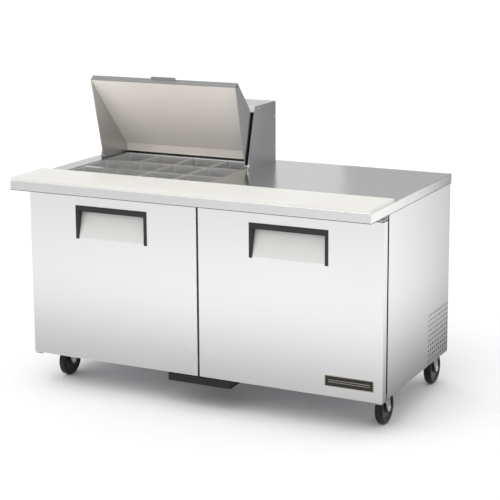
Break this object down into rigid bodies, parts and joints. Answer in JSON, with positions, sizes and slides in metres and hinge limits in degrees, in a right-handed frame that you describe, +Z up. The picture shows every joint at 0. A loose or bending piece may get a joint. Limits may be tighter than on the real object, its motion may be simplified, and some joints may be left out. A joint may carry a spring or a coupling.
{
  "type": "sandwich prep table",
  "caption": "Refrigerated sandwich prep table on castors: two doors, full-width cutting board, hinged insulated lid over a well of food pans, fixed rear hood.",
  "frame": {"origin": "on the floor, at the middle of the footprint from the counter front to the back of the rear wheels", "axes": "+Z up, +X along the counter to its right-hand end, -Y towards the doors"},
  "size_m": [1.534, 0.9036, 1.2488],
  "materials": {
    "brushed_stainless": "brushed, long grain",
    "satin_stainless": "satin",
    "plated_fasteners": "bright plated",
    "galvanised_sheet": "galvanised spangle",
    "black_plastic": "moulded, fine grain",
    "insulating_foam": "skinned foam behind white sheet",
    "white_liner": "white enamel",
    "coated_wire": "white coated wire",
    "seal_rubber": "soft magnetic seal",
    "white_board": "fine-textured polyethylene",
    "badge_plastic": "gloss with a pale border",
    "black_enamel": "gloss black",
    "fin_aluminium": "mill",
    "copper_tube": "bright tube",
    "zinc_steel": "bright zinc",
    "wheel_rubber": "moulded tread"
  },
  "bodies": {
    "cabinet": {"countertop": "brushed_stainless", "hood": "brushed_stainless", "side_panel_left": "brushed_stainless", "side_panel_right": "brushed_stainless", "pan_frame": "satin_stainless", "divider_bars": "satin_stainless", "hood_fasteners": "plated_fasteners", "hinge_brackets": "plated_fasteners", "rear_panel": "galvanised_sheet", "base_frame": "galvanised_sheet", "lower_front_cover": "black_plastic", "power_gland": "black_plastic", "insulated_body": "insulating_foam", "cabinet_liner": "white_liner", "front_frame": "white_liner", "evaporator_cover": "white_liner", "wire_shelves": "coated_wire", "compressor": "black_enamel", "condenser_shroud": "black_enamel", "condenser_coil": "fin_aluminium", "evaporator_coil": "fin_aluminium", "refrigerant_lines": "copper_tube", "castor_plates": "zinc_steel"},
    "left_door": {"left_door_skin": "brushed_stainless", "left_door_liner": "insulating_foam", "left_door_gasket": "seal_rubber", "left_door_handle": "black_plastic"},
    "right_door": {"right_door_skin": "brushed_stainless", "right_door_liner": "insulating_foam", "right_door_gasket": "seal_rubber", "right_door_handle": "black_plastic", "door_badge": "badge_plastic"},
    "lid": {"lid_skin": "brushed_stainless", "lid_liner": "satin_stainless"},
    "cutting_board": {"cutting_board": "white_board"},
    "pan_row1_1": {"pan_row1_1": "satin_stainless"},
    "pan_row1_2": {"pan_row1_2": "satin_stainless"},
    "pan_row1_3": {"pan_row1_3": "satin_stainless"},
    "pan_row1_4": {"pan_row1_4": "satin_stainless"},
    "pan_row2_1": {"pan_row2_1": "satin_stainless"},
    "pan_row2_2": {"pan_row2_2": "satin_stainless"},
    "pan_row2_3": {"pan_row2_3": "satin_stainless"},
    "pan_row2_4": {"pan_row2_4": "satin_stainless"},
    "pan_row3_1": {"pan_row3_1": "satin_stainless"},
    "pan_row3_2": {"pan_row3_2": "satin_stainless"},
    "pan_row3_3": {"pan_row3_3": "satin_stainless"},
    "pan_row3_4": {"pan_row3_4": "satin_stainless"},
    "castor_fork_front_left": {"castor_fork_front_left": "zinc_steel"},
    "castor_wheel_front_left": {"castor_wheel_front_left": "wheel_rubber"},
    "brake_pedal_front_left": {"brake_pedal_front_left": "black_plastic"},
    "castor_fork_front_right": {"castor_fork_front_right": "zinc_steel"},
    "castor_wheel_front_right": {"castor_wheel_front_right": "wheel_rubber"},
    "brake_pedal_front_right": {"brake_pedal_front_right": "black_plastic"},
    "castor_fork_rear_left": {"castor_fork_rear_left": "zinc_steel"},
    "castor_wheel_rear_left": {"castor_wheel_rear_left": "wheel_rubber"},
    "castor_fork_rear_right": {"castor_fork_rear_right": "zinc_steel"},
    "castor_wheel_rear_right": {"castor_wheel_rear_right": "wheel_rubber"},
    "condenser_fan": {"condenser_fan": "fin_aluminium"},
    "evaporator_fan": {"evaporator_fan": "fin_aluminium"},
    "temperature_knob": {"temperature_knob": "black_plastic"}
  },
  "joints": [
    {"name": "left_door_hinge", "type": "hinge", "parent": "cabinet", "child": "left_door", "pos_m": [-0.748, -0.30175, 0.136], "axis": [0, 0, -1], "range_deg": [0, 110]},
    {"name": "right_door_hinge", "type": "hinge", "parent": "cabinet", "child": "right_door", "pos_m": [0.748, -0.30175, 0.136], "axis": [0, 0, 1], "range_deg": [0, 110]},
    {"name": "lid_hinge", "type": "hinge", "parent": "cabinet", "child": "lid", "pos_m": [-0.361, 0.14825, 0.891], "axis": [-1, 0, 0], "range_deg": [-76, 0]},
    {"name": "board_lift", "type": "slide", "parent": "cabinet", "child": "cutting_board", "axis": [0, 0, 1], "range_m": [0, 0.1]},
    {"name": "pan_row1_1_lift", "type": "slide", "parent": "cabinet", "child": "pan_row1_1", "axis": [0, 0, 1], "range_m": [0, 0.16]},
    {"name": "pan_row1_2_lift", "type": "slide", "parent": "cabinet", "child": "pan_row1_2", "axis": [0, 0, 1], "range_m": [0, 0.16]},
    {"name": "pan_row1_3_lift", "type": "slide", "parent": "cabinet", "child": "pan_row1_3", "axis": [0, 0, 1], "range_m": [0, 0.16]},
    {"name": "pan_row1_4_lift", "type": "slide", "parent": "cabinet", "child": "pan_row1_4", "axis": [0, 0, 1], "range_m": [0, 0.16]},
    {"name": "pan_row2_1_lift", "type": "slide", "parent": "cabinet", "child": "pan_row2_1", "axis": [0, 0, 1], "range_m": [0, 0.16]},
    {"name": "pan_row2_2_lift", "type": "slide", "parent": "cabinet", "child": "pan_row2_2", "axis": [0, 0, 1], "range_m": [0, 0.16]},
    {"name": "pan_row2_3_lift", "type": "slide", "parent": "cabinet", "child": "pan_row2_3", "axis": [0, 0, 1], "range_m": [0, 0.16]},
    {"name": "pan_row2_4_lift", "type": "slide", "parent": "cabinet", "child": "pan_row2_4", "axis": [0, 0, 1], "range_m": [0, 0.16]},
    {"name": "pan_row3_1_lift", "type": "slide", "parent": "cabinet", "child": "pan_row3_1", "axis": [0, 0, 1], "range_m": [0, 0.04]},
    {"name": "pan_row3_2_lift", "type": "slide", "parent": "cabinet", "child": "pan_row3_2", "axis": [0, 0, 1], "range_m": [0, 0.04]},
    {"name": "pan_row3_3_lift", "type": "slide", "parent": "cabinet", "child": "pan_row3_3", "axis": [0, 0, 1], "range_m": [0, 0.04]},
    {"name": "pan_row3_4_lift", "type": "slide", "parent": "cabinet", "child": "pan_row3_4", "axis": [0, 0, 1], "range_m": [0, 0.04]},
    {"name": "castor_swivel_front_left", "type": "hinge", "parent": "cabinet", "child": "castor_fork_front_left", "pos_m": [-0.708, -0.18975, 0.145], "axis": [0, 0, 1], "continuous": true},
    {"name": "castor_roll_front_left", "type": "hinge", "parent": "castor_fork_front_left", "child": "castor_wheel_front_left", "pos_m": [-0.708, -0.15175, 0.0635], "axis": [1, 0, 0], "continuous": true},
    {"name": "brake_front_left", "type": "hinge", "parent": "castor_fork_front_left", "child": "brake_pedal_front_left", "pos_m": [-0.708, -0.11575, 0.124], "axis": [-1, 0, 0], "range_deg": [0, 12], "stiffness_Nm_per_rad": 0.3, "springref_deg": -5.73},
    {"name": "castor_swivel_front_right", "type": "hinge", "parent": "cabinet", "child": "castor_fork_front_right", "pos_m": [0.708, -0.18975, 0.145], "axis": [0, 0, 1], "continuous": true},
    {"name": "castor_roll_front_right", "type": "hinge", "parent": "castor_fork_front_right", "child": "castor_wheel_front_right", "pos_m": [0.708, -0.15175, 0.0635], "axis": [1, 0, 0], "continuous": true},
    {"name": "brake_front_right", "type": "hinge", "parent": "castor_fork_front_right", "child": "brake_pedal_front_right", "pos_m": [0.708, -0.11575, 0.124], "axis": [-1, 0, 0], "range_deg": [0, 12], "stiffness_Nm_per_rad": 0.3, "springref_deg": -5.73},
    {"name": "castor_swivel_rear_left", "type": "hinge", "parent": "cabinet", "child": "castor_fork_rear_left", "pos_m": [-0.708, 0.35025, 0.145], "axis": [0, 0, 1], "continuous": true},
    {"name": "castor_roll_rear_left", "type": "hinge", "parent": "castor_fork_rear_left", "child": "castor_wheel_rear_left", "pos_m": [-0.708, 0.38825, 0.0635], "axis": [1, 0, 0], "continuous": true},
    {"name": "castor_swivel_rear_right", "type": "hinge", "parent": "cabinet", "child": "castor_fork_rear_right", "pos_m": [0.708, 0.35025, 0.145], "axis": [0, 0, 1], "continuous": true},
    {"name": "castor_roll_rear_right", "type": "hinge", "parent": "castor_fork_rear_right", "child": "castor_wheel_rear_right", "pos_m": [0.708, 0.38825, 0.0635], "axis": [1, 0, 0], "continuous": true},
    {"name": "condenser_fan_spin", "type": "hinge", "parent": "cabinet", "child": "condenser_fan", "pos_m": [0.672, 0.29525, 0.262], "axis": [1, 0, 0], "continuous": true},
    {"name": "evaporator_fan_spin", "type": "hinge", "parent": "cabinet", "child": "evaporator_fan", "pos_m": [0.25, 0.26425, 0.692], "axis": [0, 1, 0], "continuous": true},
    {"name": "temperature_knob_turn", "type": "hinge", "parent": "cabinet", "child": "temperature_knob", "pos_m": [0.5, 0.22825, 0.69], "axis": [0, -1, 0], "range_deg": [0, 270]}
  ]
}
